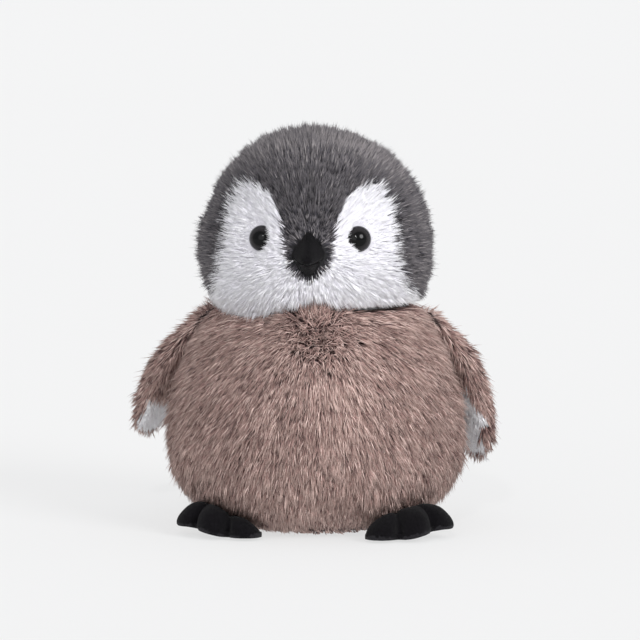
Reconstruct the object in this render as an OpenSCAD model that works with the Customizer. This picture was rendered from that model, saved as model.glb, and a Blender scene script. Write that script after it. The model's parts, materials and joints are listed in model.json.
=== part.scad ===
// Plush penguin chick: plush fabric panels sewn over stuffing, felt beak and feet.
// Millimetres, +Z up, the face looks towards -Y. The origin is the centre of the flat
// base disc, on the surface that the toy sits on. Left and right are the toy's own:
// its left side is +X. The plush is drawn with its pile pressed to pile_t.

/* [Body] */
// Largest radius of the body
body_r = 67; // [62:1:72]
// Height of the widest part of the body, and radius of the curve under it
belly_z = 39; // [34:1:44]
// Height of the neck seam
neck_z = 104; // [98:1:108]

/* [Head] */
// Radius of the round head
head_r = 51; // [47:1:55]
// Height of the centre of the head
head_z = 128.5; // [124:0.5:134]
// Turn of the head at rest, in degrees; negative looks to the toy's right
head_turn = -4; // [-10:1:10]
// Room between the head and the body at the neck seam
neck_gap = 0.5; // [0.3:0.1:1]

/* [Fabric] */
// Thickness of the plush with its pile pressed
pile_t = 4; // [3:0.5:5]
// Thickness of the felt of the feet and beak
felt_t = 1.6; // [1:0.2:2.4]

/* [Eyes] */
// Diameter of the domed eye
eye_d = 12; // [10:0.5:14]
// Height of the dome in front of its back rim
eye_dome = 4.8; // [3:0.2:5.6]
// Distance of each eye from the middle of the face
eye_x = 22.6; // [20:0.2:26]
// Height of the eyes above the centre of the head
eye_z = 9.2; // [8:0.2:14]

/* [Beak] */
// Distance from the axis of the head to the tip of the beak
beak_reach = 61; // [57:1:66]
// Half of the width of the beak at its root
beak_half_w = 7.4; // [6:0.2:9]

/* [Wings] */
// Height of the seam that the wing hangs from
wing_top_z = 98; // [94:1:100]
// Height of the wing's tip when the wing is flat against the body
wing_tip_z = 23; // [20:1:36]
// Thickness of the wing in the middle
wing_t = 6.5; // [6:0.5:10]
// Room between the wing and the body when it is flat against the body
wing_gap = 1.0; // [0.6:0.1:2]
// How far the left wing stands off the body at rest, in degrees
wing_lift_left = 11; // [8:1:15]
// How far the right wing stands off the body at rest, in degrees
wing_lift_right = 22; // [18:1:26]
// How far the left wing swings back at rest, in degrees
wing_sweep_left = 0; // [0:1:10]
// How far the right wing swings back at rest, in degrees
wing_sweep_right = 14; // [0:1:24]
// How far behind the side of the body each wing is sewn, in degrees
wing_back = 25; // [0:1:30]

/* [Feet] */
// Height of a foot where it comes out from under the belly
foot_h = 14.5; // [12:0.5:16]
// Radius of each toe
toe_r = 7.8; // [6.5:0.1:8.6]
// Distance from the middle of the foot to the centre of a toe's end
toe_reach = 23.5; // [19:0.5:25]
// Angle between neighbouring toes, in degrees
toe_fan = 36; // [30:1:38]
// Thickness of the sole
sole_t = 2.4; // [1.6:0.2:3.2]

/* [Hidden] */
$fn = 96;

brown = "#96807a";
grey = "#5c5a60";
white = "#ebeaee";
black = "#1c1a1f";
filling = "#f4f2ea";
far = 200;

// Body of revolution: a curve of radius belly_z under the belly, and a flatter
// curve from the belly up to the neck, tangent where they meet.
neck_cut = neck_z + neck_gap;
neck_r = sqrt(pow(head_r, 2) - pow(head_z - neck_z, 2));
base_r = body_r - belly_z;
neck_in = body_r - neck_r;
side_r = (pow(neck_in, 2) + pow(neck_z - belly_z, 2)) / (2 * neck_in);
side_x = body_r - side_r;

// Wing: a lens between two arcs that meet at its top seam and at its tip.
wing_in_r = side_r + wing_gap;
wing_top_a = asin((wing_top_z - belly_z) / wing_in_r);
wing_tip_a = asin((wing_tip_z - belly_z) / wing_in_r);
wing_half_chord = wing_in_r * sin((wing_top_a - wing_tip_a) / 2);
wing_mid_a = (wing_top_a + wing_tip_a) / 2;
wing_sag = wing_in_r * (1 - cos((wing_top_a - wing_tip_a) / 2));
wing_top_x = side_x + wing_in_r * cos(wing_top_a);
wing_root_half = 9.5;
wing_half_w = 18.5;
wing_length = wing_top_z - wing_tip_z;
// How much flatter than the side of the body the left and the right wing hang.
wing_flatten = [3.2, 5.5];

// Outlines are given by a few points that a smooth curve runs through.
// Inner edge of a face patch from the middle of the face up, then its outer edge
// down to below the neck: distance from the middle, height above the head's centre.
patch_edge = [[0, -11], [8.4, -5.4], [11.4, 2], [12.8, 10], [13.4, 16],
    [14.6, 21.5], [17.6, 28], [22.5, 32.2], [28.5, 33.8], [33.5, 32], [37.6, 26.5],
    [40, 18], [40.8, 9.5], [42, 0.5], [44.6, -8.5], [46, -17.5], [45.5, -30]];
patch_top_x = 28.5;
wing_edge = [[wing_root_half, 1.5], [wing_root_half + 2.5, -6], [wing_half_w, -22],
    [wing_half_w - 0.5, -38], [wing_half_w - 3, 16 - wing_length],
    [11, 6 - wing_length], [0, -wing_length]];

bead_r = 2;
bead_pitch = 5.2;
bead_rings = 3;
pouch_wall = 0.8;
pouch_r = 30;
pouch_h = 2 * (2 * bead_r + pouch_wall) + 3;
pouch_z = pile_t + 0.4;
thread_r = 0.7;
stitch_r = 0.4;
stitch_len = 4;
stitch_step = 3.2;
stitch_count = 10;
stitch_z = 26;

eye_r = eye_d / 2;
eye_back_r = head_r - pile_t + 1.2;
eye_ball_r = (pow(eye_r, 2) + pow(eye_dome, 2)) / (2 * eye_dome);
eye_seat = 0.3;
stem_r = 1.7;
stem_len = 11;
washer_r = 6;
washer_t = 1.6;
mouth_z = -0.8;

foot_x = [35, -34.5];
foot_y = [-31, -24];
foot_splay = [24, -31];
foot_dome_r = 34;
foot_dome_y = -13;
fold_r = 42.4;
fold_z = 0.8;
belly_slope = 34;

// A smooth curve through points, four steps to a span.
function span_point(a, b, c, d, t) = 0.5 * (2 * b + (c - a) * t
    + (2 * a - 5 * b + 4 * c - d) * t * t + (3 * b - a - 3 * c + d) * t * t * t);
function at(p, i) = p[min(max(i, 0), len(p) - 1)];
function smooth(p, steps = 4) = [
    for (i = [0 : len(p) - 2], s = [0 : steps - 1])
        span_point(at(p, i - 1), p[i], p[i + 1], at(p, i + 2), s / steps),
    p[len(p) - 1]];
function flipped(p) = [for (i = [len(p) - 1 : -1 : 0]) [-p[i].x, p[i].y]];

// ---- Body ----

module body_outline(inset) {
    translate([0, inset]) square([base_r, belly_z - inset]);
    intersection() {
        translate([base_r, belly_z]) circle(belly_z - inset);
        square([body_r, belly_z]);
    }
    intersection() {
        translate([side_x, belly_z]) circle(side_r - inset);
        translate([0, belly_z]) square([body_r, neck_z - belly_z]);
    }
}

module body_solid(inset = 0) {
    rotate_extrude() body_outline(inset);
}

// One quarter of the body's skin, above the seam of the base.
module body_panel(side, front) {
    color(brown) difference() {
        intersection() {
            body_solid();
            translate([side > 0 ? 0 : -far, front ? -far : 0, pile_t]) cube(far);
        }
        rotate_extrude() intersection() {
            body_outline(pile_t);
            square([far, neck_z + 1]);
        }
        translate([0, 0, neck_z - 2 * thread_r]) cylinder(r = neck_r - pile_t, h = 3);
        if (!front) stitch_row();
    }
}

module base_panel() {
    color(brown) intersection() {
        body_solid();
        cylinder(r = far, h = pile_t);
    }
}

module body_stuffing() {
    color(filling) difference() {
        intersection() {
            body_solid(pile_t);
            cylinder(r = far, h = neck_z - 2 * thread_r - 0.4);
        }
        pouch_solid(0);
    }
}

module pouch_solid(inset) {
    flat_r = pouch_r - pouch_h / 2;
    translate([0, 0, pouch_z]) rotate_extrude() intersection() {
        union() {
            translate([0, inset]) square([flat_r, pouch_h - 2 * inset]);
            translate([flat_r, pouch_h / 2]) circle(pouch_h / 2 - inset);
        }
        square([far, far]);
    }
}

module bead_pouch() {
    color("#d9d6d0") difference() {
        pouch_solid(0);
        pouch_solid(pouch_wall);
    }
}

// Two layers of loose plastic beads, in rings.
module beads() {
    color("#c9ccd2") for (layer = [0, 1]) {
        z = pouch_z + pouch_h / 2 + (layer - 0.5) * (2 * bead_r + 0.6);
        translate([0, 0, z]) sphere(bead_r, $fn = 24);
        for (ring = [1 : bead_rings], k = [0 : 6 * ring - 1])
            rotate(60 * k / ring) translate([ring * bead_pitch, 0, z]) sphere(bead_r, $fn = 24);
    }
}

// The thread that gathers the neck, inside the skin's top edge.
module neck_thread() {
    color(brown) rotate_extrude()
        translate([neck_r - pile_t - thread_r, neck_z - thread_r]) circle(thread_r, $fn = 32);
}

// Stitches across the middle seam of the back, where the toy was closed.
module stitch_row() {
    for (i = [0 : stitch_count - 1]) {
        z = stitch_z + i * stitch_step;
        r = (z < belly_z) ? base_r + sqrt(pow(belly_z, 2) - pow(belly_z - z, 2))
            : side_x + sqrt(pow(side_r, 2) - pow(z - belly_z, 2));
        translate([-stitch_len / 2, r - pile_t / 2, z]) rotate([0, 90, 0])
            cylinder(r = stitch_r, h = stitch_len, $fn = 24);
    }
}

module closing_stitches() {
    color(brown) stitch_row();
}

// ---- Head: everything here is about the head's centre, and head_at() places it ----

module head_at() {
    translate([0, 0, head_z]) rotate(head_turn) children();
}

module above_neck(raise = 0) {
    translate([-far / 2, -far / 2, neck_cut - head_z + raise]) cube(far);
}

module head_shell() {
    difference() {
        intersection() {
            sphere(head_r);
            above_neck();
        }
        sphere(head_r - pile_t);
    }
}

// The front of the head inside the outline of one face patch.
module patch_prism(side) {
    mirror([side > 0 ? 0 : 1, 0, 0]) rotate([90, 0, 0]) linear_extrude(far)
        polygon(concat([[0, -30]], smooth(patch_edge)));
}

module gusset_slab() {
    translate([-patch_top_x, -far / 2, -far / 2]) cube([2 * patch_top_x, far, far]);
}

module face_patch(side) {
    color(white) head_at() difference() {
        intersection() {
            head_shell();
            patch_prism(side);
        }
        eye_place(side) eye_room();
        beak_root();
    }
}

module head_gusset() {
    color(grey) head_at() difference() {
        intersection() {
            head_shell();
            gusset_slab();
        }
        patch_prism(1);
        patch_prism(-1);
        beak_root();
    }
}

module head_side(side) {
    color(grey) head_at() difference() {
        intersection() {
            head_shell();
            translate([side > 0 ? 0 : -far, -far / 2, -far / 2]) cube(far);
        }
        gusset_slab();
        patch_prism(side);
    }
}

module head_stuffing() {
    color(filling) head_at() difference() {
        intersection() {
            sphere(head_r - pile_t);
            above_neck(1.5);
        }
        for (side = [1, -1]) eye_place(side) stem_room();
    }
}

// Turns +Z out through the skin where the eye sits.
module eye_place(side) {
    out_y = sqrt(pow(head_r, 2) - pow(eye_x, 2) - pow(eye_z, 2));
    turn = side * atan(eye_x / out_y);
    tilt = 90 - asin(eye_z / head_r);
    rotate([0, 0, turn]) rotate([tilt, 0, 0]) children();
}

module eye_room() {
    translate([0, 0, eye_back_r]) cylinder(r = eye_r + eye_seat, h = 20);
    cylinder(r = stem_r, h = far / 2);
}

module stem_room() {
    stem_end = eye_back_r - stem_len;
    translate([0, 0, stem_end]) cylinder(r = stem_r, h = stem_len + 1);
    translate([0, 0, washer_z()]) cylinder(r = washer_r, h = washer_t + 2);
}

// A domed plastic eye with a stem that passes through the fabric.
module eye(side) {
    color(black) head_at() eye_place(side) {
        translate([0, 0, eye_back_r]) intersection() {
            translate([0, 0, eye_dome - eye_ball_r]) sphere(eye_ball_r);
            cylinder(r = eye_r, h = eye_d);
        }
        translate([0, 0, eye_back_r - stem_len]) cylinder(r = stem_r, h = stem_len + 1);
    }
}

// The disc that locks the eye's stem inside the fabric.
module eye_washer(side) {
    color("#dcdcdc") head_at() eye_place(side)
        translate([0, 0, washer_z()]) difference() {
            cylinder(r = washer_r, h = washer_t);
            translate([0, 0, -1]) cylinder(r = stem_r, h = washer_t + 2);
        }
}

// The washer's outer face rim just meets the round inside of the skin.
function washer_z() = sqrt(pow(head_r - pile_t, 2) - pow(washer_r, 2)) - washer_t;

// The beak is hulled from small balls: a wide root and a blunt tip.
module beak_form(inset) {
    root_y = -(head_r - pile_t);
    hull() {
        translate([0, root_y + 1, 11]) sphere(2.4 - inset, $fn = 24);
        for (side = [1, -1]) translate([side * (beak_half_w - 3), root_y, 3])
            sphere(3.4 - inset, $fn = 24);
        translate([0, root_y, -4.6]) sphere(3 - inset, $fn = 24);
        translate([0, -beak_reach + 3, 0.4]) sphere(3 - inset, $fn = 24);
    }
}

// The part of the beak behind the outer face of the plush is let into it.
module beak_root() {
    beak_form(0);
}

module beak_cover() {
    difference() {
        beak_form(0);
        beak_form(felt_t);
        sphere(head_r - pile_t);
    }
}

module mouth_cut(upper) {
    translate([-far / 2, -far / 2, upper ? mouth_z : mouth_z - far]) cube(far);
}

module beak_upper() {
    color(black) head_at() intersection() {
        beak_cover();
        mouth_cut(true);
    }
}

module beak_lower() {
    color(black) head_at() intersection() {
        beak_cover();
        mouth_cut(false);
    }
}

module beak_stuffing() {
    color(filling) head_at() difference() {
        beak_form(felt_t);
        sphere(head_r - pile_t);
    }
}

// ---- Wings: drawn flat against the body on the left side, then swung and mirrored ----

// Arc of the lens through the seam and the tip, whose middle is rise beyond the chord.
module lens_disc(rise, inset = 0) {
    r = (pow(wing_half_chord, 2) + pow(rise, 2)) / (2 * rise);
    middle = wing_in_r * cos((wing_top_a - wing_tip_a) / 2) + rise - r;
    translate([side_x + middle * cos(wing_mid_a), belly_z + middle * sin(wing_mid_a)])
        circle(r - inset);
}

module wing_lens(side, low, high, inset = 0) {
    sag = wing_sag - wing_flatten[side > 0 ? 0 : 1];
    translate([0, far / 2, 0]) rotate([90, 0, 0]) linear_extrude(far) difference() {
        lens_disc(sag + high, inset);
        lens_disc(sag + low, -inset);
    }
}

module wing_blade(inset) {
    grow = 1 - inset / wing_half_w;
    translate([0, 0, wing_top_z]) rotate([90, 0, 90]) linear_extrude(far)
        translate([0, -wing_length / 2]) scale(grow) translate([0, wing_length / 2])
            polygon(concat(smooth(wing_edge), flipped(smooth(wing_edge))));
}

module wing_cavity(side) {
    intersection() {
        wing_lens(side, 0, wing_t, 2);
        wing_blade(2);
    }
}

module wing_at(side, lift) {
    sweep = (side > 0) ? wing_sweep_left : wing_sweep_right;
    mirror([side > 0 ? 0 : 1, 0, 0]) rotate(wing_back) translate([wing_top_x, 0, wing_top_z])
        rotate([sweep, -lift, 0]) translate([-wing_top_x, 0, -wing_top_z]) children();
}

module wing_outer(side, lift) {
    color(brown) wing_at(side, lift) difference() {
        intersection() {
            wing_lens(side, wing_t / 2, wing_t);
            wing_blade(0);
        }
        wing_cavity(side);
    }
}

module wing_inner(side, lift) {
    color(white) wing_at(side, lift) difference() {
        intersection() {
            wing_lens(side, 0, wing_t / 2);
            wing_blade(0);
        }
        wing_cavity(side);
    }
}

module wing_stuffing(side, lift) {
    color(filling) wing_at(side, lift) wing_cavity(side);
}

// ---- Feet ----

// Three round toes fanned from the middle of the foot, and a heel.
module foot_outline(inset) {
    r = toe_r - inset;
    for (toe = [-1 : 1]) rotate(toe * toe_fan) {
        translate([0, -toe_reach]) circle(r);
        translate([-r, -toe_reach]) square([2 * r, toe_reach]);
    }
    circle(toe_r + 2 - inset);
}

// Places foot i: 0 is the left foot and 1 is the right foot.
module foot_at(i) {
    translate([foot_x[i], foot_y[i], 0]) rotate(foot_splay[i]) children();
}

// The way out from the body's axis through the middle of the foot, as a turn from -Y.
function foot_turn(i) = atan2(foot_x[i], -foot_y[i]);

// Everything under a plane that rises outwards from the fold line under the belly.
module under_belly(i, drop = 0) {
    rotate(foot_turn(i)) translate([0, -fold_r, fold_z - drop]) rotate([-belly_slope, 0, 0])
        translate([-far / 2, -far / 2, -far]) cube(far);
}

// Everything over the sole, domed on top, inside the outline by inset.
module foot_form(i, inset) {
    intersection() {
        foot_at(i) translate([0, 0, sole_t]) linear_extrude(foot_h) foot_outline(inset);
        foot_at(i) translate([0, foot_dome_y, foot_h - foot_dome_r])
            sphere(foot_dome_r - inset);
        under_belly(i, inset);
    }
}

module foot_top(i) {
    color(black) difference() {
        foot_form(i, 0);
        foot_form(i, felt_t);
    }
}

module foot_sole(i) {
    color("#4a484c") intersection() {
        foot_at(i) linear_extrude(sole_t) foot_outline(0);
        under_belly(i);
    }
}

module foot_stuffing(i) {
    color(filling) foot_form(i, felt_t);
}

body_panel(1, true);  // chest_left
body_panel(-1, true);  // chest_right
body_panel(1, false);  // back_left
body_panel(-1, false);  // back_right
base_panel();
body_stuffing();
bead_pouch();
beads();
neck_thread();
closing_stitches();
head_gusset();
head_side(1);  // head_side_left
head_side(-1);  // head_side_right
face_patch(1);  // face_left
face_patch(-1);  // face_right
head_stuffing();
eye(1);  // eye_left
eye(-1);  // eye_right
eye_washer(1);  // eye_washer_left
eye_washer(-1);  // eye_washer_right
beak_upper();
beak_lower();
beak_stuffing();
wing_outer(1, wing_lift_left);  // wing_left_outer
wing_inner(1, wing_lift_left);  // wing_left_inner
wing_stuffing(1, wing_lift_left);  // wing_left_stuffing
wing_outer(-1, wing_lift_right);  // wing_right_outer
wing_inner(-1, wing_lift_right);  // wing_right_inner
wing_stuffing(-1, wing_lift_right);  // wing_right_stuffing
foot_top(0);  // foot_left_top
foot_sole(0);  // foot_left_sole
foot_stuffing(0);  // foot_left_stuffing
foot_top(1);  // foot_right_top
foot_sole(1);  // foot_right_sole
foot_stuffing(1);  // foot_right_stuffing
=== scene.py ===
"""Plush penguin chick: pile, felt, eyes and filling fitted round its sewn pieces. All in metres."""

import copy
import json
import math

import bpy
import numpy as np
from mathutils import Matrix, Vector
from mathutils.kdtree import KDTree


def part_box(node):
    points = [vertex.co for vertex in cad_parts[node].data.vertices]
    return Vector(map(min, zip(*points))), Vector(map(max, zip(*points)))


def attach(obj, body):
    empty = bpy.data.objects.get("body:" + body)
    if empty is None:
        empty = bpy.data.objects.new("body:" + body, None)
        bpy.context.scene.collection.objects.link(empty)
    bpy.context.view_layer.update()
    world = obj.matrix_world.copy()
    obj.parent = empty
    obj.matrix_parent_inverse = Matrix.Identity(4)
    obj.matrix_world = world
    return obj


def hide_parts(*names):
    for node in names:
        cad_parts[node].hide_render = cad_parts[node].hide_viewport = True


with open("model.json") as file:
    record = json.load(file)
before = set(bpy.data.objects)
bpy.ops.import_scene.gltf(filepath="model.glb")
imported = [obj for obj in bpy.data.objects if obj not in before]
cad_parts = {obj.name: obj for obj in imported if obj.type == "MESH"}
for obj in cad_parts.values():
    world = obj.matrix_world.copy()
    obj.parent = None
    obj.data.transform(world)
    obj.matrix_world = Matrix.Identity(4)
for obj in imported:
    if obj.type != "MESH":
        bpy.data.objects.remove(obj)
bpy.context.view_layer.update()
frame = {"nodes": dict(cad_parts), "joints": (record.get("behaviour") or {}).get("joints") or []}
bpy.ops.object.select_all(action="DESELECT")
scene = bpy.context.scene
MM = 0.001

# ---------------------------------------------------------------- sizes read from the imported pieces

HEAD_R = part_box("head_side_left")[1].x
HEAD_C = np.array([0.0, 0.0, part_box("head_gusset")[1].z - HEAD_R])
BODY_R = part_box("chest_left")[1].x
NECK_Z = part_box("chest_left")[1].z
NECK_R = math.sqrt(HEAD_R**2 - (HEAD_C[2] - NECK_Z) ** 2)
PANEL_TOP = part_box("base_panel")[1].z
BASE_IN = BODY_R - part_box("base_panel")[1].x
BELLY_Z = BASE_IN + PANEL_TOP + math.sqrt(2 * BASE_IN * PANEL_TOP)
BASE_R = BODY_R - BELLY_Z
SIDE_R = ((BODY_R - NECK_R) ** 2 + (NECK_Z - BELLY_Z) ** 2) / (2 * (BODY_R - NECK_R))
SIDE_X = BODY_R - SIDE_R
CHEST_TOP = np.array([0.0, -0.8 * NECK_R, NECK_Z + 4 * MM])
HINGES = {j["child"]: np.array(j["pos_m"]) for j in frame["joints"]}


def middle(*nodes):
    """Centre of the box round some pieces."""
    lo = np.min([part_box(n)[0] for n in nodes], axis=0)
    hi = np.max([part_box(n)[1] for n in nodes], axis=0)
    return (lo + hi) / 2


def unit(v):
    return v / np.maximum(np.linalg.norm(v, axis=-1, keepdims=True), 1e-12)


BEAK_C = middle("beak_upper", "beak_lower")
BEAK_DIR = unit(BEAK_C - HEAD_C)
EYES = {s: middle(f"eye_{s}") for s in ("left", "right")}
EYE_DIR = {s: unit(EYES[s] - HEAD_C) for s in EYES}


# ---------------------------------------------------------------- camera, light and floor

CAMERA_AIM = Vector((1.84 * MM, 0, 95.2 * MM))
CAMERA_RISE = math.radians(7)
CAMERA_DISTANCE = 5.0
VIEW_WIDTH = 0.2944
SENSOR_MM = 36

# Name, strength, angular size and turn of each sun, with the angles in degrees.
SUNS = (
    ("key", 2.1, 26, (64, 0, 42)),
    ("fill", 0.6, 45, (74, 0, -22)),
    ("sparkle", 0.7, 3, (60, 0, -6)),
)


def place_camera():
    """A long lens in front of the toy, looking down a little."""
    data = bpy.data.cameras.new("camera")
    data.sensor_width = SENSOR_MM
    data.lens = SENSOR_MM / VIEW_WIDTH * CAMERA_DISTANCE
    cam = bpy.data.objects.new("camera", data)
    back = Vector((0, -math.cos(CAMERA_RISE), math.sin(CAMERA_RISE)))
    cam.location = CAMERA_AIM + CAMERA_DISTANCE * back
    cam.rotation_euler = (math.pi / 2 - CAMERA_RISE, 0, 0)
    scene.collection.objects.link(cam)
    scene.camera = cam


def light_studio():
    """Even light from all round, three suns and a plain view transform."""
    world = bpy.data.worlds.new("studio")
    scene.world = world
    world.use_nodes = True
    back = world.node_tree.nodes["Background"]
    back.inputs["Color"].default_value = (0.97, 0.98, 1, 1)
    back.inputs["Strength"].default_value = 0.72
    for name, strength, size, turn in SUNS:
        lamp = bpy.data.lights.new(name, "SUN")
        lamp.energy, lamp.angle = strength, math.radians(size)
        ob = bpy.data.objects.new(name, lamp)
        ob.rotation_euler = [math.radians(a) for a in turn]
        scene.collection.objects.link(ob)
    scene.view_settings.view_transform = "Standard"


def lay_floor():
    bpy.ops.mesh.primitive_plane_add(size=60)
    floor = bpy.context.object
    floor.name = "floor"
    floor.data.materials.append(plain_paper())
    bpy.ops.object.select_all(action="DESELECT")


# ---------------------------------------------------------------- materials

def srgb(r, g, b):
    """Linear colour of a 0-255 colour."""
    return tuple(
        c / 12.92 if c <= 0.04045 else ((c + 0.055) / 1.055) ** 2.4
        for c in (r / 255, g / 255, b / 255)
    ) + (1.0,)


def blank(name, roughness, **sockets):
    """A new material with its principled shader and that shader's constant sockets."""
    made = bpy.data.materials.new(name)
    made.use_nodes = True
    shader = made.node_tree.nodes["Principled BSDF"]
    shader.inputs["Roughness"].default_value = roughness
    for key, value in sockets.items():
        shader.inputs[key.replace("_", " ")].default_value = value
    return made, made.node_tree, shader


def node(tree, kind, **values):
    made = tree.nodes.new(kind)
    for key, value in values.items():
        setattr(made, key, value)
    return made


def plain_paper():
    """Pale paper that glows a little, so the floor stays near white between the shadows."""
    made, tree, shader = blank("floor_paper", 0.9)
    noise = node(tree, "ShaderNodeTexNoise")
    noise.inputs["Scale"].default_value = 3
    ramp = node(tree, "ShaderNodeValToRGB")
    ramp.color_ramp.elements[0].color = (0.168, 0.169, 0.170, 1)
    ramp.color_ramp.elements[1].color = (0.172, 0.173, 0.174, 1)
    where = node(tree, "ShaderNodeTexCoord")
    tree.links.new(where.outputs["Object"], noise.inputs["Vector"])
    tree.links.new(noise.outputs["Fac"], ramp.inputs["Fac"])
    tree.links.new(ramp.outputs["Color"], shader.inputs["Base Color"])
    shader.inputs["Emission Color"].default_value = (1, 1, 1, 1)
    shader.inputs["Emission Strength"].default_value = 0.66
    return made


def group(name, ins, outs):
    """An empty node group with named sockets."""
    made = bpy.data.node_groups.new(name, "ShaderNodeTree")
    for label, kind, value in ins:
        s = made.interface.new_socket(label, in_out="INPUT", socket_type=kind)
        if value is not None:
            s.default_value = value
    for label, kind in outs:
        made.interface.new_socket(label, in_out="OUTPUT", socket_type=kind)
    return made, made.nodes.new("NodeGroupInput"), made.nodes.new("NodeGroupOutput")


COLOUR, VALUE = "NodeSocketColor", "NodeSocketFloat"


def mix(tree, kind, factor, a, b):
    """A colour mix whose factor, a and b are sockets or values."""
    made = node(tree, "ShaderNodeMix", data_type="RGBA", blend_type=kind)
    for key, value in ((0, factor), (6, a), (7, b)):
        if isinstance(value, bpy.types.NodeSocket):
            tree.links.new(value, made.inputs[key])
        else:
            made.inputs[key].default_value = value
    return made.outputs[2]


def spread(tree, value, a, b, low=0.0, high=1.0):
    """Value from a to b turned smoothly into low to high."""
    made = node(tree, "ShaderNodeMapRange", interpolation_type="SMOOTHSTEP")
    tree.links.new(value, made.inputs["Value"])
    for key, v in (("From Min", a), ("From Max", b), ("To Min", low), ("To Max", high)):
        made.inputs[key].default_value = v
    return made.outputs["Result"]


PILE_STOPS = ("Root", "Middle", "Tip", "Dark hair", "Pale hair")


def pile_colour():
    """Colour of one hair from the skin (V = 0) to its tip (V = 1), with its own tone in U."""
    g, start, end = group(
        "pile_colour",
        [(key, COLOUR, None) for key in PILE_STOPS],
        [("Color", COLOUR)],
    )
    at = node(g, "ShaderNodeUVMap", uv_map="OFBake")
    split = node(g, "ShaderNodeSeparateXYZ")
    g.links.new(at.outputs["UV"], split.inputs["Vector"])
    tone, along = split.outputs["X"], split.outputs["Y"]
    dark = mix(g, "MIX", spread(g, tone, 0.5, 0.0), start.outputs["Middle"], start.outputs["Dark hair"])
    own = mix(g, "MIX", spread(g, tone, 0.5, 1.0), dark, start.outputs["Pale hair"])
    # Darker towards the root: painted shade deep in the pile.
    low = mix(g, "MIX", spread(g, along, 0.05, 0.55), start.outputs["Root"], own)
    tipped = mix(g, "MIX", spread(g, along, 0.55, 1.0, 0.0, 0.7), low, start.outputs["Tip"])
    g.links.new(tipped, end.inputs["Color"])
    return g


def pile(name, *colours, roughness=0.62):
    """Pile of one colour, from the colours of PILE_STOPS."""
    made, tree, shader = blank(name, roughness, Specular_IOR_Level=0.3)
    colour = node(tree, "ShaderNodeGroup", node_tree=PILE)
    for key, c in zip(PILE_STOPS, colours):
        colour.inputs[key].default_value = srgb(*c)
    tree.links.new(colour.outputs["Color"], shader.inputs["Base Color"])
    return made


def weave_height():
    """Tangled or woven fibre: a height and a mask of raised fibres."""
    g, start, end = group(
        "fibre_height",
        [("Fibres per metre", VALUE, 900.0), ("Tangle", VALUE, 3.0)],
        [("Height", VALUE), ("Raised", VALUE)],
    )
    where = node(g, "ShaderNodeTexCoord")
    tangle = node(g, "ShaderNodeTexNoise")
    tangle.inputs["Detail"].default_value = 4
    tangle.inputs["Roughness"].default_value = 0.7
    g.links.new(where.outputs["Object"], tangle.inputs["Vector"])
    g.links.new(start.outputs["Fibres per metre"], tangle.inputs["Scale"])
    g.links.new(start.outputs["Tangle"], tangle.inputs["Distortion"])
    g.links.new(tangle.outputs["Fac"], end.inputs["Height"])
    g.links.new(spread(g, tangle.outputs["Fac"], 0.42, 0.68), end.inputs["Raised"])
    return g


def cloth(name, low, high, roughness, fibres=900.0, tangle=3.0, height=0.0004, sheen=0.0, **sockets):
    """Felt, woven cloth, thread or fibre filling: fibres in relief, tone that drifts over the surface."""
    made, tree, shader = blank(name, roughness, **sockets)
    if sheen:
        shader.inputs["Sheen Weight"].default_value = sheen
        shader.inputs["Sheen Roughness"].default_value = 0.45
    fibre = node(tree, "ShaderNodeGroup", node_tree=FIBRE)
    fibre.inputs["Fibres per metre"].default_value = fibres
    fibre.inputs["Tangle"].default_value = tangle
    where = node(tree, "ShaderNodeTexCoord")
    patchy = node(tree, "ShaderNodeTexNoise")
    patchy.inputs["Scale"].default_value = 60
    tree.links.new(where.outputs["Object"], patchy.inputs["Vector"])
    colour = mix(tree, "MIX", fibre.outputs["Raised"], srgb(*low), srgb(*high))
    wear = spread(tree, patchy.outputs["Fac"], 0.35, 0.7, 0.0, 0.35)
    worn = mix(tree, "MULTIPLY", wear, colour, srgb(150, 150, 150))
    tree.links.new(worn, shader.inputs["Base Color"])
    bump = node(tree, "ShaderNodeBump")
    bump.inputs["Distance"].default_value = height
    tree.links.new(fibre.outputs["Height"], bump.inputs["Height"])
    tree.links.new(bump.outputs["Normal"], shader.inputs["Normal"])
    return made


# Colours of an eye from its centre (0) to its rim (1).
EYE_RINGS = (
    (0.0, (2, 2, 3)),
    (0.52, (3, 3, 4)),
    (0.60, (30, 28, 29)),
    (0.82, (44, 42, 44)),
    (0.92, (30, 28, 30)),
    (1.0, (6, 6, 7)),
)


def eye_plastic():
    """Moulded eye: black pupil, dark grey ring, black rim, under a clear glossy coat."""
    made, tree, shader = blank("eye_gloss", 0.25, Specular_IOR_Level=0.02,
                               Coat_Weight=1.0, Coat_Roughness=0.03, Coat_IOR=1.25)
    ring = node(tree, "ShaderNodeAttribute", attribute_name="ring")
    where = node(tree, "ShaderNodeTexCoord")
    fleck = node(tree, "ShaderNodeTexNoise")
    fleck.inputs["Scale"].default_value = 1600
    tree.links.new(where.outputs["Object"], fleck.inputs["Vector"])
    ramp = node(tree, "ShaderNodeValToRGB")
    while len(ramp.color_ramp.elements) < len(EYE_RINGS):
        ramp.color_ramp.elements.new(0.5)
    for stop, (at, colour) in zip(ramp.color_ramp.elements, EYE_RINGS):
        stop.position, stop.color = at, srgb(*colour)
    tree.links.new(ring.outputs["Fac"], ramp.inputs["Fac"])
    flecks = spread(tree, fleck.outputs["Fac"], 0.3, 0.7, 0.0, 0.4)
    flecked = mix(tree, "MULTIPLY", flecks, ramp.outputs["Color"], srgb(120, 110, 105))
    tree.links.new(flecked, shader.inputs["Base Color"])
    return made


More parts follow.
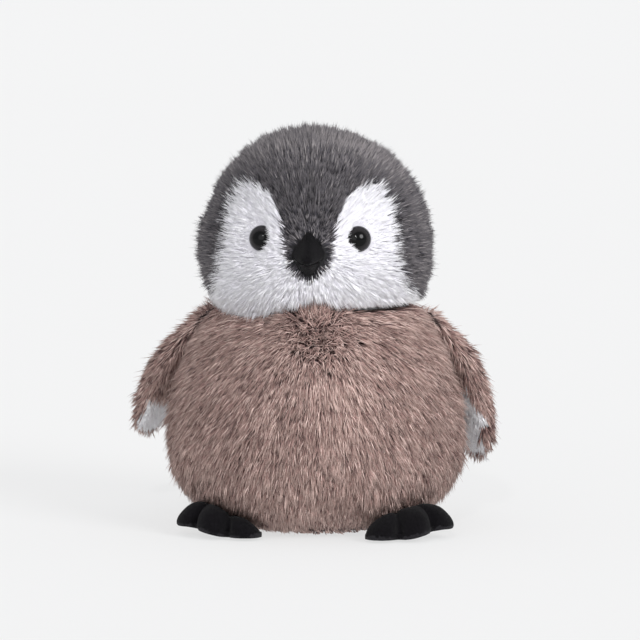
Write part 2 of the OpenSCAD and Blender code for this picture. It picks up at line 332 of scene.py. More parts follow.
def moulded(name, colour, scuffed, roughness):
    """Plain moulded plastic with flow marks and light scuffs."""
    made, tree, shader = blank(name, roughness, Specular_IOR_Level=0.5)
    where = node(tree, "ShaderNodeTexCoord")
    scuff = node(tree, "ShaderNodeTexNoise")
    scuff.inputs["Scale"].default_value = 420
    scuff.inputs["Detail"].default_value = 5
    tree.links.new(where.outputs["Object"], scuff.inputs["Vector"])
    worn = spread(tree, scuff.outputs["Fac"], 0.45, 0.75)
    tree.links.new(mix(tree, "MIX", worn, srgb(*colour), srgb(*scuffed)), shader.inputs["Base Color"])
    dull = spread(tree, scuff.outputs["Fac"], 0.3, 0.8, roughness, roughness + 0.2)
    tree.links.new(dull, shader.inputs["Roughness"])
    return made


PILE, FIBRE = pile_colour(), weave_height()
FINISH = {
    # The first colour of each pile, its root, is much darker than its middle: painted shade deep in the
    # pile.
    "brown_plush": pile("brown_pile", (40, 26, 27), (156, 125, 119), (206, 180, 170),
                        (78, 56, 55), (220, 194, 186)),
    "grey_plush": pile("grey_pile", (16, 15, 18), (62, 60, 67), (138, 133, 136),
                       (25, 23, 28), (160, 154, 154)),
    "white_plush": pile("white_pile", (202, 200, 206), (241, 240, 243), (243, 243, 245),
                        (224, 222, 229), (246, 246, 248)),
    "black_felt": cloth("black_felt", (4, 3, 5), (24, 22, 26), 0.95,
                        fibres=1100, sheen=0.04, Specular_IOR_Level=0.1),
    "sole_felt": cloth("sole_felt", (24, 23, 26), (44, 42, 46), 0.95,
                       sheen=0.06, Specular_IOR_Level=0.15),
    "stuffing": cloth("polyester_filling", (214, 214, 216), (250, 250, 250), 0.85,
                      fibres=500, tangle=6, height=0.0012, sheen=0.3),
    "pouch_cloth": cloth("pouch_cotton", (176, 168, 150), (214, 208, 194), 0.85,
                         fibres=1500, tangle=1, height=0.0003),
    "thread": cloth("waxed_thread", (56, 44, 40), (104, 86, 78), 0.6,
                    fibres=2600, tangle=8, height=0.0002),
    "eye_plastic": eye_plastic(),
    "washer_plastic": moulded("washer_white", (222, 222, 220), (196, 196, 194), 0.35),
    "bead_plastic": moulded("bead_pellets", (206, 214, 222), (178, 186, 196), 0.3),
}


# ---------------------------------------------------------------- mesh helpers

def coords(ob):
    co = np.zeros(len(ob.data.vertices) * 3)
    ob.data.vertices.foreach_get("co", co)
    return co.reshape(-1, 3)


def put(ob, co):
    ob.data.vertices.foreach_set("co", co.ravel())
    ob.data.update()


def triangles(ob):
    """Vertex numbers of each triangle."""
    ob.data.calc_loop_triangles()
    t = np.zeros(len(ob.data.loop_triangles) * 3, np.int32)
    ob.data.loop_triangles.foreach_get("vertices", t)
    return t.reshape(-1, 3)


def vertex_normals(ob):
    n = np.zeros(len(ob.data.vertices) * 3)
    ob.data.vertex_normals.foreach_get("vector", n)
    return n.reshape(-1, 3)


def only(ob):
    bpy.ops.object.select_all(action="DESELECT")
    ob.select_set(True)
    bpy.context.view_layer.objects.active = ob


def apply_modifier(ob, kind, **values):
    only(ob)
    made = ob.modifiers.new(kind.lower(), kind)
    for key, value in values.items():
        setattr(made, key, value)
    bpy.ops.object.modifier_apply(modifier=made.name)


def pattern_copy(name, *nodes):
    """One closed mesh taken off some sewn pieces, with its doubles merged."""
    copies = []
    for n in nodes:
        ob = frame["nodes"][n].copy()
        ob.data = frame["nodes"][n].data.copy()
        ob.parent = None
        for key in list(ob.keys()):
            del ob[key]
        scene.collection.objects.link(ob)
        copies.append(ob)
    only(copies[0])
    for ob in copies:
        ob.select_set(True)
    if len(copies) > 1:
        bpy.ops.object.join()
    ob = bpy.context.object
    ob.name = ob.data.name = name
    bpy.ops.object.mode_set(mode="EDIT")
    bpy.ops.mesh.select_all(action="SELECT")
    bpy.ops.mesh.remove_doubles(threshold=1e-5)
    bpy.ops.object.mode_set(mode="OBJECT")
    return ob


def voxelled(name, size, *nodes, smooth=4):
    """A pattern copy as one even, closed skin."""
    ob = pattern_copy(name, *nodes)
    apply_modifier(ob, "REMESH", mode="VOXEL", voxel_size=size)
    if smooth:
        apply_modifier(ob, "SMOOTH", factor=0.5, iterations=smooth)
    ob.data.shade_smooth()
    return ob


def fill_out(ob, cap, pressure=4.0, frames=20):
    """Blows a sewn form up with its filling, no point further than cap from its seam line."""
    sewn = coords(ob)
    only(ob)
    filling = ob.modifiers.new("filling", "CLOTH")
    filling.settings.use_pressure = True
    filling.settings.uniform_pressure_force = pressure
    filling.settings.effector_weights.gravity = 0
    filling.point_cache.frame_end = frames
    for number in range(1, frames + 1):
        scene.frame_set(number)
    bpy.ops.object.modifier_apply(modifier=filling.name)
    scene.frame_set(1)
    moved = coords(ob) - sewn
    far = np.linalg.norm(moved, axis=1, keepdims=True)
    put(ob, sewn + moved * np.minimum(1, cap / np.maximum(far, 1e-9)))


def settle(ob, body, slot, *nodes, fill=None):
    """Gives a piece its body and its finish, and hides the sewn pieces that it stands for."""
    ob.data.materials.clear()
    ob.data.materials.append(FINISH[slot])
    ob.data.shade_smooth()
    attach(ob, body)
    if nodes:
        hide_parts(*nodes)


# ---------------------------------------------------------------- where the skin is

def torso_skin(p):
    """Height above the torso's skin and the way out of it."""
    r = np.hypot(p[:, 0], p[:, 1])
    low = p[:, 2] < BELLY_Z
    cx, big = np.where(low, BASE_R, SIDE_X), np.where(low, BELLY_Z, SIDE_R)
    q = np.stack([r - cx, p[:, 2] - BELLY_Z], 1)
    under = low & (r < BASE_R)
    q[under, 0] = 0
    far = np.linalg.norm(q, axis=1)
    q = q / np.maximum(far, 1e-9)[:, None]
    rr = np.maximum(r, 1e-9)
    return far - big, np.stack([q[:, 0] * p[:, 0] / rr, q[:, 0] * p[:, 1] / rr, q[:, 1]], 1)


def head_skin(p):
    q = p - HEAD_C
    far = np.linalg.norm(q, axis=1)
    return far - HEAD_R, q / np.maximum(far, 1e-9)[:, None]


def outer_face(ob, skin, near=1.6 * MM):
    """Corner points of the triangles on a panel's outer face."""
    co = coords(ob)
    t = co[triangles(ob)]
    off, out = skin(t.mean(1))
    facing = (unit(np.cross(t[:, 1] - t[:, 0], t[:, 2] - t[:, 0])) * out).sum(1)
    return t[(np.abs(off) < near) & (facing > 0.5)]


def scatter(t, count, rng):
    """Points spread evenly over triangles."""
    area = np.linalg.norm(np.cross(t[:, 1] - t[:, 0], t[:, 2] - t[:, 0]), axis=1)
    pick = rng.choice(len(t), count, p=area / area.sum())
    u, v = rng.random(count), rng.random(count)
    over = u + v > 1
    u[over], v[over] = 1 - u[over], 1 - v[over]
    a, b, c = t[pick, 0], t[pick, 1], t[pick, 2]
    return a + u[:, None] * (b - a) + v[:, None] * (c - a), pick


def along_skin(v, n):
    """The part of v that lies in the skin, as a direction."""
    return unit(v - (v * n).sum(1, keepdims=True) * n)


def step(x, a, b):
    t = np.clip((x - a) / (b - a), 0, 1)
    return t * t * (3 - 2 * t)


def drift(p, size, seed):
    """Smooth noise over space, about -1 to 1, with features of the given size."""
    rng = np.random.default_rng(seed)
    total = np.zeros(len(p))
    for _ in range(6):
        way = unit(rng.normal(size=3)) / size * rng.uniform(0.6, 1.6)
        total += np.sin(p @ way * 2 * math.pi + rng.uniform(0, 6.28))
    return total / 2.6


# ---------------------------------------------------------------- hair

SOFTEN = 0.24
LOOSE_SHARE = 0.05
PULL_SHARES = (0.25, 0.65, 1.0)
SPINDLE = np.array([(0, 1 + (k + 1) % 3, 1 + k) for k in range(3)]
                   + [(1 + k, 1 + (k + 1) % 3, 4) for k in range(3)])
SPINDLE_HEIGHTS = (0.03, 0.6, 0.6, 0.6, 0.97)
SPINDLE_TONES = np.array([0.0, -0.003, 0.003, 0.0, 0.0])


class Coat:
    """Hairs to be grown: where each starts, its way out, its comb, length, thickness and tone."""

    def __init__(self, root, out, comb, length, width, tone, lean, clump, rng):
        self.root, self.out, self.comb, self.length = root, out, comb, length
        self.width, self.tone, self.lean = width, tone, lean
        self.grow(clump, rng)

    def grow(self, clump, rng):
        """Sets each hair's points from root to tip, and gathers neighbours into locks."""
        n = len(self.root)
        heads = rng.permutation(n)[: max(1, int(n * clump["share"]))]
        tree = KDTree(len(heads))
        for i, h in enumerate(heads):
            tree.insert(self.root[h], i)
        tree.balance()
        lock = np.array([tree.find(p)[1] for p in self.root])
        swing = rng.normal(0, clump["swing"], len(heads))[lock] + rng.normal(0, clump["stray"], n)
        side = np.cross(self.out, self.comb)
        comb = np.cos(swing)[:, None] * self.comb + np.sin(swing)[:, None] * side
        lift = clump["lift"]
        lean = self.lean + rng.normal(0, lift, len(heads))[lock] + rng.normal(0, lift * 0.5, n)
        length = self.length * (1 + rng.normal(0, 0.09, len(heads))[lock]) * rng.uniform(0.78, 1.12, n)
        loose = rng.random(n) < LOOSE_SHARE
        lean = np.where(loose, lean - rng.uniform(0.1, 0.45, n), lean)
        points = [self.root]
        for k in range(3):
            a = np.clip(lean + clump["bend"] * (k - 1) / 2, 0.1, 1.62)[:, None]
            points.append(points[-1] + (np.cos(a) * self.out + np.sin(a) * comb) * (length / 3)[:, None])
        pull = np.where(loose, 0.0, rng.uniform(clump["pull"] * 0.6, clump["pull"], n))[:, None]
        home = heads[lock]
        for k, share in enumerate(PULL_SHARES, 1):
            points[k] = points[k] + share * pull * (points[k][home] - points[k])
        self.points = points
        shade = rng.normal(0, clump["tone"], len(heads))[lock] + rng.normal(0, 0.32, n)
        self.tone = np.clip(self.tone + shade, 0.01, 0.99)
        self.width = self.width * np.where(loose, 0.6, 1.0) * rng.uniform(0.8, 1.15, n)

    def some(self, mine):
        """The same coat with only some of its hairs."""
        part = copy.copy(self)
        part.out, part.width, part.tone = self.out[mine], self.width[mine], self.tone[mine]
        part.points = [p[mine] for p in self.points]
        return part

    def keep_above(self, height, first=0):
        """Lays on the floor what would hang below it, from point number first of each hair on."""
        for p in self.points[first:]:
            p[:, 2] = np.maximum(p[:, 2], height)


def hair_mesh(coat):
    """Closed spindles along the hairs: vertices, triangles, corner UVs and vertex normals."""
    root, low, high, tip = coat.points
    belly = 0.2 * low + 0.8 * high
    across = unit(np.cross(unit(tip - low), coat.out))
    up = np.cross(unit(tip - low), across)
    rows, normals = [root], [coat.out]
    for k in range(3):
        a = math.pi / 2 + k * 2 * math.pi / 3
        d = math.cos(a) * across + math.sin(a) * up
        rows.append(belly + d * (coat.width / 2)[:, None])
        normals.append(unit((1 - SOFTEN) * d + SOFTEN * coat.out))
    rows.append(tip)
    normals.append(unit((1 - SOFTEN) * unit(tip - high) + SOFTEN * coat.out))
    co, nor = np.stack(rows, 1), np.stack(normals, 1)
    faces = (np.arange(len(co))[:, None, None] * len(rows) + SPINDLE[None]).reshape(-1, 3)
    u = np.clip(coat.tone[:, None] + SPINDLE_TONES[None], 0.001, 0.999)
    v = np.broadcast_to(np.array(SPINDLE_HEIGHTS)[None], u.shape)
    uv = np.stack([u, v], 2)[:, SPINDLE].reshape(-1, 2)
    return co.reshape(-1, 3), faces, uv, nor.reshape(-1, 3)


def build(name, parts):
    """One mesh object from (vertices, triangles, corner UVs, normals) parts."""
    shift, cos, tris, uvs, nors = 0, [], [], [], []
    for co, t, uv, nor in parts:
        cos.append(co)
        tris.append(t + shift)
        uvs.append(uv)
        nors.append(nor)
        shift += len(co)
    co, t, uv, nor = (np.concatenate(x) for x in (cos, tris, uvs, nors))
    mesh = bpy.data.meshes.new(name)
    mesh.vertices.add(len(co))
    mesh.vertices.foreach_set("co", co.astype(np.float32).ravel())
    mesh.loops.add(len(t) * 3)
    mesh.loops.foreach_set("vertex_index", t.astype(np.int32).ravel())
    mesh.polygons.add(len(t))
    mesh.polygons.foreach_set("loop_start", np.arange(0, len(t) * 3, 3, dtype=np.int32))
    mesh.uv_layers.new(name="OFBake").data.foreach_set("uv", uv.astype(np.float32).ravel())
    mesh.update(calc_edges=True)
    mesh.shade_smooth()
    mesh.normals_split_custom_set_from_vertices(nor)
    ob = bpy.data.objects.new(name, mesh)
    scene.collection.objects.link(ob)
    return ob


def skin_part(ob):
    """A backing's mesh as a part for build, all of it at the root end of the pile colour, which is
    painted shade under the pile.
    """
    co, t = coords(ob), triangles(ob)
    uv = np.tile([0.5, 0.02], (len(t) * 3, 1))
    nor = vertex_normals(ob)
    bpy.data.objects.remove(ob)
    return co, t, uv, nor


def backing(panel, skin, depth):
    """The knitted ground of a plush panel, its outer face sunk under the pile."""
    ob = voxelled(f"{panel}_ground", 2.2 * MM, panel, smooth=2)
    co = coords(ob)
    off, out = skin(co)
    sunk = np.minimum(off, -depth)
    put(ob, co + (sunk - off)[:, None] * out)
    return skin_part(ob)


def finish_panel(body, slot, panel, ground, coat):
    """One plush panel: its ground and its hairs in one piece."""
    ob = build(f"{panel}_plush", [ground, hair_mesh(coat)])
    settle(ob, body, slot, panel, fill=0.8)


# ---------------------------------------------------------------- the torso's coat

DOWN = np.array([0.0, 0.0, -1.0])
TORSO_HAIRS = {
    "chest_left": 30500,
    "chest_right": 30500,
    "back_left": 29000,
    "back_right": 29000,
}
BASE_HAIRS = 5000
TORSO_LOCKS = dict(share=0.18, swing=0.10, stray=0.15, lift=0.10, bend=0.42, pull=0.40, tone=0.17)


def torso_comb(p, n):
    """Down the body, fanning out from the top of the chest in front and rising to the throat."""
    front = step(-p[:, 1] / BODY_R, -0.35, 0.35)
    far = np.linalg.norm(p - CHEST_TOP, axis=1)
    share = (front * (1 - 0.45 * step(far, 14 * MM, 55 * MM)))[:, None]
    fan = unit(p - CHEST_TOP) * np.array([1.0, 0.6, 1.0])
    flow = along_skin(DOWN * (1 - share) + fan * share, n)
    centre = 1 - step(np.abs(p[:, 0]), 4 * MM, 13 * MM)
    rise = (centre * step(p[:, 2], NECK_Z - 11 * MM, NECK_Z - 4 * MM) * front)[:, None]
    return along_skin(flow * (1 - rise) - DOWN * rise, n)


def tousled(comb, out, amount, rng):
    """A comb with each hair turned at random by about amount, in radians."""
    turn = rng.normal(0, 1, len(comb)) * amount
    return np.cos(turn)[:, None] * comb + np.sin(turn)[:, None] * np.cross(out, comb)


def torso_coat(panel, count, seed):
    """The hair of one torso panel: tousled at the parting, short near the floor and at the neck."""
    rng = np.random.default_rng(seed)
    root, _ = scatter(outer_face(frame["nodes"][panel], torso_skin), count, rng)
    off, out = torso_skin(root)
    root = root - (off + 4.2 * MM)[:, None] * out
    across = np.hypot(root[:, 0], root[:, 2] - NECK_Z + 8 * MM)
    parting = (1 - step(across, 4 * MM, 20 * MM)) * (root[:, 1] < 0)
    comb = tousled(torso_comb(root, out), out, 1.3 * parting, rng)
    low = step(root[:, 2], 4 * MM, 26 * MM)
    tuck = step(root[:, 2], NECK_Z - 9 * MM, NECK_Z - 3 * MM) * step(-root[:, 0], 8 * MM, 18 * MM)
    long = 12 * MM * (0.55 + 0.45 * low) * (0.9 + 0.1 * drift(root, 0.03, 7)) * (1 - 0.2 * tuck)
    # Darker at the parting: painted shade of the roots that show where the hair stands up.
    tone = 0.5 + 0.07 * drift(root, 0.035, 11) + 0.04 * drift(root, 0.012, 12) - 0.2 * parting
    lean = 1.14 - 0.45 * parting + 0.2 * tuck
    coat = Coat(root, out, comb, long, np.full(count, 0.39 * MM), tone, lean, TORSO_LOCKS, rng)
    coat.keep_above(0.4 * MM, first=1)
    return coat


def base_coat():
    """Short, thick hair under the toy, combed backwards and pressed flat."""
    rng = np.random.default_rng(140)
    root, _ = scatter(outer_face(frame["nodes"]["base_panel"], torso_skin), BASE_HAIRS, rng)
    _, out = torso_skin(root)
    comb = along_skin(np.tile([0.3, 1.0, 0.0], (BASE_HAIRS, 1)), out)
    root[:, 2] += 2 * MM
    long, width, tone, lean = (np.full(BASE_HAIRS, v) for v in (5 * MM, 0.6 * MM, 0.4, 1.35))
    coat = Coat(root, out, comb, long, width, tone, lean, TORSO_LOCKS, rng)
    coat.keep_above(0.3 * MM)
    return coat


def dress_torso():
    """Two chest panels, two back panels and the base."""
    for seed, (panel, count) in enumerate(TORSO_HAIRS.items()):
        coat = torso_coat(panel, count, 100 + seed)
        finish_panel("torso", "brown_plush", panel, backing(panel, torso_skin, 3.6 * MM), coat)
    ground = backing("base_panel", torso_skin, 1.2 * MM)
    finish_panel("torso", "brown_plush", "base_panel", ground, base_coat())


# ---------------------------------------------------------------- the head's coat

MARKS_EACH = 15000
HEAD_ROOTS = 150000
MOST_HAIRS = 31500
HEAD_LOCKS = dict(share=0.16, swing=0.10, stray=0.15, lift=0.12, bend=0.40, pull=0.42, tone=0.11)
HEAD_PANELS = {
    "head_gusset": "grey_plush",
    "head_side_left": "grey_plush",
    "head_side_right": "grey_plush",
    "face_left": "white_plush",
    "face_right": "white_plush",
}


def head_comb(p, n):
    """Away from the beak all round, turning down at the back of the head."""
    away = along_skin(-np.tile(BEAK_DIR, (len(p), 1)), n)
    down = along_skin(np.tile([0.0, 0.0, -1.0], (len(p), 1)), n)
    back = step(-(n @ BEAK_DIR), -0.1, 0.6)[:, None]
    low = 0.55 * (1 - step(p[:, 2], NECK_Z + 2 * MM, NECK_Z + 16 * MM))[:, None] * (1 - back)
    return along_skin(away * (1 - back - low) + down * (back + low), n)


def facing_on(p):
    """Where points over the face lie on the skin when the face is looked straight on."""
    ahead = unit(BEAK_DIR * np.array([1.0, 1.0, 0.0]))
    q = p - HEAD_C
    depth = q @ ahead
    flat = q - depth[:, None] * ahead
    room = HEAD_R**2 - (flat**2).sum(1)
    front = (depth > 0) & (room > (0.12 * HEAD_R) ** 2)
    on = flat + np.sqrt(np.maximum(room, 0))[:, None] * ahead
    return HEAD_C + np.where(front[:, None], on, unit(q) * HEAD_R)


def chin_line(p):
    """The lowest that head hair may hang: a small peak in the middle and a dip on the right cheek."""
    peak = 3 * MM * np.exp(-((p[:, 0] / (7 * MM)) ** 2)) * (p[:, 1] < 0)
    dip = 8 * MM * np.exp(-(((p[:, 0] + 33 * MM) / (14 * MM)) ** 2))
    return NECK_Z + 0.3 * MM + peak - dip


def panel_marks(faces, rng):
    """Marks spread over each head panel's outer face, which tell whose a hair is."""
    marks = KDTree(MARKS_EACH * len(faces))
    for k, t in enumerate(faces.values()):
        for i, p in enumerate(scatter(t, MARKS_EACH, rng)[0]):
            marks.insert(p, k * MARKS_EACH + i)
    marks.balance()
    return marks


def head_coat(faces, rng):
    """The whole head's hair: thinner behind, short at the eyes and the beak, upright on the crown."""
    root, _ = scatter(np.concatenate(list(faces.values())), HEAD_ROOTS, rng)
    off, out = head_skin(root)
    front = out @ BEAK_DIR
    kept = rng.random(len(root)) < 0.42 + 0.58 * step(front, -0.2, 0.3)
    eyes = [HEAD_C + EYE_DIR[s] * HEAD_R for s in EYES]
    to_eye = np.min([np.linalg.norm(root - e, axis=1) for e in eyes], axis=0)
    to_beak = np.linalg.norm((root - BEAK_C) * np.array([1, 0.4, 1]), axis=1)
    kept &= (to_eye > 4.6 * MM) & (to_beak > 6.2 * MM)
    root, off, out, front, to_eye, to_beak = (x[kept] for x in (root, off, out, front, to_eye, to_beak))
    crown = step(out[:, 2], 0.45, 0.95)
    root = root - (off + (3.0 - 1.0 * crown) * MM)[:, None] * out
    comb = head_comb(root, out)
    for s in EYES:
        from_eye = root - HEAD_C - EYE_DIR[s] * (HEAD_R - 2 * MM)
        near = (1 - step(np.linalg.norm(from_eye, axis=1), 5 * MM, 9 * MM))[:, None]
        comb = along_skin(comb * (1 - 0.75 * near) + unit(from_eye) * 0.75 * near, out)
    long = 10.6 * MM * (0.92 + 0.08 * drift(root, 0.03, 21))
    long *= 0.42 + 0.58 * step(to_eye, 5 * MM, 13 * MM)
    long *= 0.5 + 0.5 * step(to_beak, 7 * MM, 20 * MM)
    lean = 1.04 + 0.2 * (1 - step(to_eye, 5 * MM, 11 * MM)) - 0.28 * crown + 0.08 * step(front, 0.5, 0.9)
    # Paler on the crown: painted light on the top of the head.
    tone = 0.5 + 0.07 * drift(root, 0.03, 22) + 0.04 * drift(root, 0.01, 23) + 0.42 * crown
    tone += 0.25 * (1 - step(to_beak, 6 * MM, 14 * MM)) - 0.42 * step(front, 0.3, 0.75)
    return Coat(root, out, comb, long, np.full(len(root), 0.4 * MM), tone, lean, HEAD_LOCKS, rng)


def dress_head():
    """Each hair goes to the panel that its outer half lies over, so colours meet along the hairs."""
    rng = np.random.default_rng(200)
    faces = {n: outer_face(frame["nodes"][n], head_skin) for n in HEAD_PANELS}
    marks = panel_marks(faces, rng)
    coat = head_coat(faces, rng)
    root, tip = coat.points[0], coat.points[3]
    share = rng.uniform(0.5, 1.0, len(root))[:, None] + 0.22 * step(root[:, :1], 20 * MM, 36 * MM)
    seen = facing_on(root * (1 - share) + tip * share)
    owner = np.array([marks.find(p)[1] // MARKS_EACH for p in seen])
    clear = tip[:, 2] > chin_line(tip)
    for k, (panel, slot) in enumerate(HEAD_PANELS.items()):
        mine = np.flatnonzero((owner == k) & clear)[:MOST_HAIRS]
        finish_panel("head", slot, panel, backing(panel, head_skin, 2.2 * MM), coat.some(mine))


# ---------------------------------------------------------------- wings, feet, beak, eyes, filling

WING_LOCKS = dict(share=0.18, swing=0.12, stray=0.16, lift=0.10, bend=0.40, pull=0.42, tone=0.11)


def nearest_of(points, **meshes):
    """Which of some named pieces each point is nearest to, as a number."""
    marks = KDTree(sum(len(m) for m in meshes.values()))
    owner = []
    for k, m in enumerate(meshes.values()):
        for p in m:
            marks.insert(p, len(owner))
            owner.append(k)
    marks.balance()
    owner = np.array(owner)
    return owner[[marks.find(p)[1] for p in points]]


# Pile, hair count, hair length and first tone of each side of a wing.
WING_SIDES = {
    "outer": ("brown_plush", 11000, 9.4 * MM, 0.5),
    # The inner side's high first tone is painted light: paler white hair where the wing shades it.
    "inner": ("white_plush", 7000, 6.4 * MM, 0.8),
}
WING_PILE_DEPTH = 1.4 * MM


def wing_owner(side, mid, face_n, nearest, shoulder, tip):
    """Which triangles of a wing wear the inner pile (1) and which the outer one (0)."""
    under = unit(face_n[nearest == 1].mean(0))
    reach = unit(tip - shoulder)
    forward = np.cross(under, reach)
    forward *= -np.sign(forward[1])
    ahead, height = (mid - shoulder) @ forward, mid[:, 2]
    if side == "left":
        rim = (12 + 4 * step(height, 40 * MM, 50 * MM)) * MM
        brown_edge = ((height > 66 * MM) & (ahead > 2 * MM)) | (ahead > rim)
        wraps = np.where(height < 66 * MM, 0.0, 0.4)
    else:
        brown_edge = (height > 58 * MM) & (ahead > 2 * MM)
        wraps = 0.4 - 0.3 * (1 - step(height, 46 * MM, 60 * MM)) * step(ahead, -2 * MM, 4 * MM)
    brown_edge |= height > NECK_Z - 16 * MM
    low_rim = (mid - shoulder) @ reach > np.linalg.norm(tip - shoulder) - 9 * MM
    white = (nearest == 1) | (low_rim & (ahead > -12 * MM))
    return np.where(white & (face_n @ under > wraps) & ~brown_edge, 1, 0)


def wing_coat(part, co, nor, mine, shoulder, tip, rng):
    """The hair of one side of a wing, combed to the tip and shorter there on the outside."""
    _, count, long, first = WING_SIDES[part]
    root, pick = scatter(co[mine], count, rng)
    out = unit(nor[mine[pick]].mean(1))
    root = root - out * WING_PILE_DEPTH
    comb = along_skin(np.tile(tip - shoulder, (count, 1)), out)
    from_tip = np.linalg.norm(tip - shoulder) - (root - shoulder) @ unit(tip - shoulder)
    trim = 0.2 if part == "outer" else 0.0
    long = long * (1 - trim * (1 - step(from_tip, 3 * MM, 16 * MM)))
    tone = first + 0.14 * drift(root, 0.025, 31)
    width, lean = np.full(count, 0.48 * MM), np.full(count, 1.08)
    coat = Coat(root, out, comb, long, width, tone, lean, WING_LOCKS, rng)
    coat.keep_above(0.4 * MM)
    return coat


def wing_ground(co, nor, mine):
    """The knitted ground under one side of a wing, as a part for build."""
    used, back = np.unique(mine, return_inverse=True)
    shell = bpy.data.meshes.new("shell")
    sunk = co[used] - nor[used] * WING_PILE_DEPTH
    shell.from_pydata(sunk.tolist(), [], back.reshape(-1, 3).tolist())
    ground = bpy.data.objects.new("shell", shell)
    scene.collection.objects.link(ground)
    apply_modifier(ground, "SOLIDIFY", thickness=0.8 * MM, offset=-1)
    return skin_part(ground)


def dress_wing(side, seed):
    """Both sides of a wing round one filled form, and the filling itself."""
    rng = np.random.default_rng(seed)
    wing = f"wing_{side}"
    sewn = [f"{wing}_{k}" for k in ("outer", "inner", "stuffing")]
    form = voxelled(f"{wing}_form", 1.6 * MM, *sewn, smooth=3)
    fill_out(form, 1.2 * MM, pressure=3.0)
    co, t, nor = coords(form), triangles(form), vertex_normals(form)
    bpy.data.objects.remove(form)
    mid = co[t].mean(1)
    face_n = unit(np.cross(co[t[:, 1]] - co[t[:, 0]], co[t[:, 2]] - co[t[:, 0]]))
    marks = {}
    for part in WING_SIDES:
        cloth_piece = frame["nodes"][f"{wing}_{part}"]
        marks[part] = scatter(coords(cloth_piece)[triangles(cloth_piece)], 9000, rng)[0]
    nearest = nearest_of(mid + face_n * 0.5 * MM, **marks)
    shoulder = HINGES[wing]
    tip = mid[np.argmax(np.linalg.norm(mid - shoulder, axis=1))]
    owner = wing_owner(side, mid, face_n, nearest, shoulder, tip)
    for k, part in enumerate(WING_SIDES):
        mine = t[owner == k]
        coat = wing_coat(part, co, nor, mine, shoulder, tip, rng)
        finish_panel(wing, WING_SIDES[part][0], f"{wing}_{part}", wing_ground(co, nor, mine), coat)
    filling = voxelled(f"{wing}_filling", 1.2 * MM, f"{wing}_stuffing", smooth=3)
    settle(filling, wing, "stuffing", f"{wing}_stuffing", fill=0.5)


def toe_gaps(side):
    """Where two toes meet: the notch at the toe edge and the crease's inner end, for each gap."""
    top = frame["nodes"][f"foot_{side}_top"]
    co = coords(top)
    lo, hi = co.min(0), co.max(0)
    heel = HINGES[f"foot_{side}"]
    way = (lo + hi) / 2 - heel
    facing = math.atan2(way[0], -way[1])
    rim = co[co[:, 2] < lo[2] + 3 * MM] - heel
    angle = np.arctan2(rim[:, 0], -rim[:, 1])
    reach = np.hypot(rim[:, 0], rim[:, 1])
    bins = np.linspace(facing - 0.6, facing + 0.6, 61)
    far = np.array([reach[(angle > a - 0.02) & (angle < a + 0.02)].max(initial=0) for a in bins])
    gaps = []
    for half in (slice(8, 30), slice(31, 53)):
        k = half.start + int(np.argmin(np.where(far[half] > 0, far[half], 9)))
        gaps.append((bins[k], far[k]))
    return heel, gaps


def curled(co, side, heel):
    """A foot whose toes stand a little off the floor, the outer one most."""
    outwards = co[:, 0] * (1 if side == "left" else -1)
    lift = 3.4 * MM * step(outwards, outwards.max() - 24 * MM, outwards.max() - 4 * MM)
    reach = np.linalg.norm(co[:, :2] - heel[:2], axis=1)
    lift += 1.4 * MM * step(reach, reach.max() - 26 * MM, reach.max())
    return co + np.outer(lift, [0, 0, 1])


def pillowed(co, nor):
    """A flat felt shape with its top rounded down to its outline."""
    wall = co[np.abs(nor[:, 2]) < 0.4]
    marks = KDTree(len(wall))
    for i, (x, y, _) in enumerate(wall):
        marks.insert((x, y, 0), i)
    marks.balance()
    inside = np.array([marks.find((x, y, 0))[2] for x, y, _ in co])
    dome = np.sqrt(1 - (1 - np.clip(inside / (9 * MM), 0, 1)) ** 2)
    co = co.copy()
    co[:, 2] *= 0.42 + 0.58 * dome
    return co


def make_foot(side):
    """A felt foot filled and creased between its toes, over a separate sole."""
    nodes = {k: f"foot_{side}_{k}" for k in ("top", "sole", "stuffing")}
    form = voxelled(f"foot_{side}_felt", 1.1 * MM, *nodes.values(), smooth=5)
    fill_out(form, 0.9 * MM, pressure=2.0)
    apply_modifier(form, "SUBSURF", levels=1, render_levels=1)
    co, nor = coords(form), vertex_normals(form)
    put(form, pillowed(co, nor))
    apply_modifier(form, "SMOOTH", factor=0.5, iterations=14)
    co, nor = coords(form), vertex_normals(form)
    heel, gaps = toe_gaps(side)
    sole_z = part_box(nodes["sole"])[1].z
    sink = np.zeros(len(co))
    for angle, reach in gaps:
        way = np.array([math.sin(angle), -math.cos(angle)])
        rel = co[:, :2] - heel[:2]
        ahead = rel @ way
        beside = np.abs(rel @ np.array([-way[1], way[0]]))
        along = step(ahead, reach - 15 * MM, reach - 6 * MM)
        sink += 1.5 * MM * along * np.exp(-((beside / (1.3 * MM)) ** 2)) * (co[:, 2] > sole_z)
    co = co - nor * sink[:, None]
    co[:, 2] = np.maximum(co[:, 2], 0.0)
    put(form, curled(co, side, heel))
    settle(form, f"foot_{side}", "black_felt", nodes["top"], nodes["stuffing"], fill=0.7)
    sole = voxelled(f"foot_{side}_sole_felt", 0.8 * MM, nodes["sole"], smooth=2)
    put(sole, curled(coords(sole), side, heel))
    settle(sole, f"foot_{side}", "sole_felt", nodes["sole"])


def make_beak():
    """Two soft felt halves round their filling."""
    for part in ("upper", "lower"):
        felt = voxelled(f"beak_{part}_felt", 0.55 * MM, f"beak_{part}", smooth=14)
        apply_modifier(felt, "SUBSURF", levels=1, render_levels=1)
        settle(felt, "head", "black_felt", f"beak_{part}")
    filling = voxelled("beak_filling", 1.2 * MM, "beak_stuffing", smooth=1)
    settle(filling, "head", "stuffing", "beak_stuffing", fill=0.6)


EYE_RADIUS = 6 * MM
EYE_DOME = 4.8 * MM
EYE_BACK_SHARE = 0.28


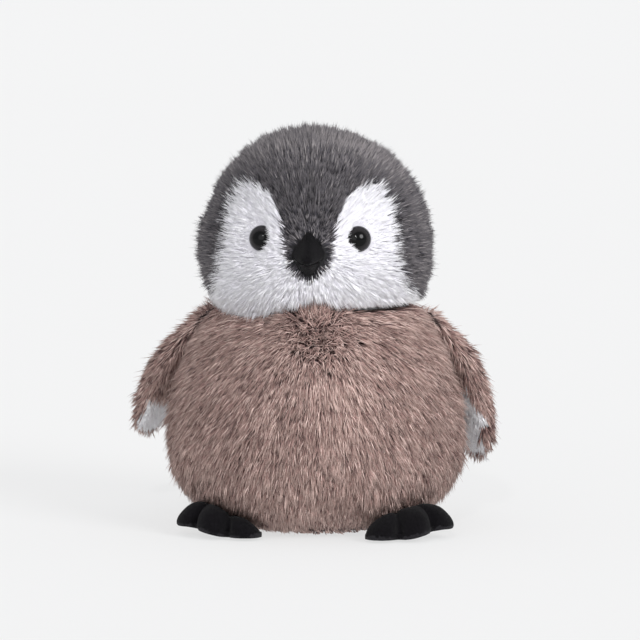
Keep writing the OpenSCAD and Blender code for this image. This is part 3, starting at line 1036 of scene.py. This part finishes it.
def make_eye(side):
    """A domed toy eye: a lens with a shallow back on a round stem, and its rings as an attribute."""
    out = EYE_DIR[side]
    way = Vector(out)
    turn = way.to_track_quat("Z", "Y").to_euler()
    front = float(((coords(frame["nodes"][f"eye_{side}"]) - HEAD_C) @ out).max())
    base = Vector(HEAD_C) + way * (front - EYE_DOME)
    bpy.ops.mesh.primitive_uv_sphere_add(segments=64, ring_count=40, radius=EYE_RADIUS,
                                         location=base, rotation=turn)
    lens = bpy.context.object
    lens.scale = (1, 1, EYE_DOME / EYE_RADIUS)
    bpy.ops.object.transform_apply(location=True, rotation=True, scale=True)
    co = coords(lens)
    up = (co - np.array(base)) @ out
    below = up < 0
    co[below] -= np.outer(up[below] * (1 - EYE_BACK_SHARE), out)
    put(lens, co)
    bpy.ops.object.select_all(action="DESELECT")
    bpy.ops.mesh.primitive_cylinder_add(vertices=24, radius=1.9 * MM, depth=9 * MM,
                                        location=base - way * 5 * MM, rotation=turn)
    stem = bpy.context.object
    bpy.ops.object.transform_apply(location=True, rotation=True, scale=True)
    apply_modifier(stem, "BEVEL", width=0.5 * MM, segments=3)
    only(lens)
    stem.select_set(True)
    bpy.ops.object.join()
    lens.name = lens.data.name = f"eye_{side}_lens"
    rel = coords(lens) - np.array(base)
    inward = unit(along_skin(BEAK_DIR[None], out[None])[0])
    across = rel - np.outer(rel @ out, out) - 1.5 * MM * inward
    ring = np.clip(np.linalg.norm(across, axis=1) / EYE_RADIUS, 0, 1)
    ring[rel @ out < -0.5 * MM] = 1
    lens.data.attributes.new("ring", "FLOAT", "POINT").data.foreach_set("value", ring.astype(np.float32))
    settle(lens, "head", "eye_plastic", f"eye_{side}")


def make_filling():
    """The stuffing of the torso and the head, and the cotton pouch round the beads."""
    for name, body, source, cap in (
        ("body_filling", "torso", "body_stuffing", 2.5),
        ("head_filling", "head", "head_stuffing", 2.0),
    ):
        form = voxelled(name, 5 * MM, source, smooth=1)
        put(form, coords(form) - vertex_normals(form) * 1.5 * MM)
        fill_out(form, cap * MM)
        apply_modifier(form, "SUBSURF", levels=1, render_levels=1)
        settle(form, body, "stuffing", source, fill=0.75)
    pouch = voxelled("bead_pouch_cotton", 1.6 * MM, "bead_pouch", smooth=2)
    settle(pouch, "torso", "pouch_cloth", "bead_pouch", fill=0.5)


def finish_kept(*pairs):
    """Gives its finish to each sewn piece that is shown as it is."""
    for name, slot in pairs:
        ob = frame["nodes"][name]
        ob.data.materials.clear()
        ob.data.materials.append(FINISH[slot])


place_camera()
light_studio()
lay_floor()
dress_torso()
dress_head()
for seed, side in enumerate(("left", "right")):
    dress_wing(side, 300 + seed)
    make_foot(side)
    make_eye(side)
make_beak()
make_filling()
finish_kept(("neck_thread", "thread"), ("closing_stitches", "thread"), ("beads", "bead_plastic"),
            ("eye_washer_left", "washer_plastic"), ("eye_washer_right", "washer_plastic"))
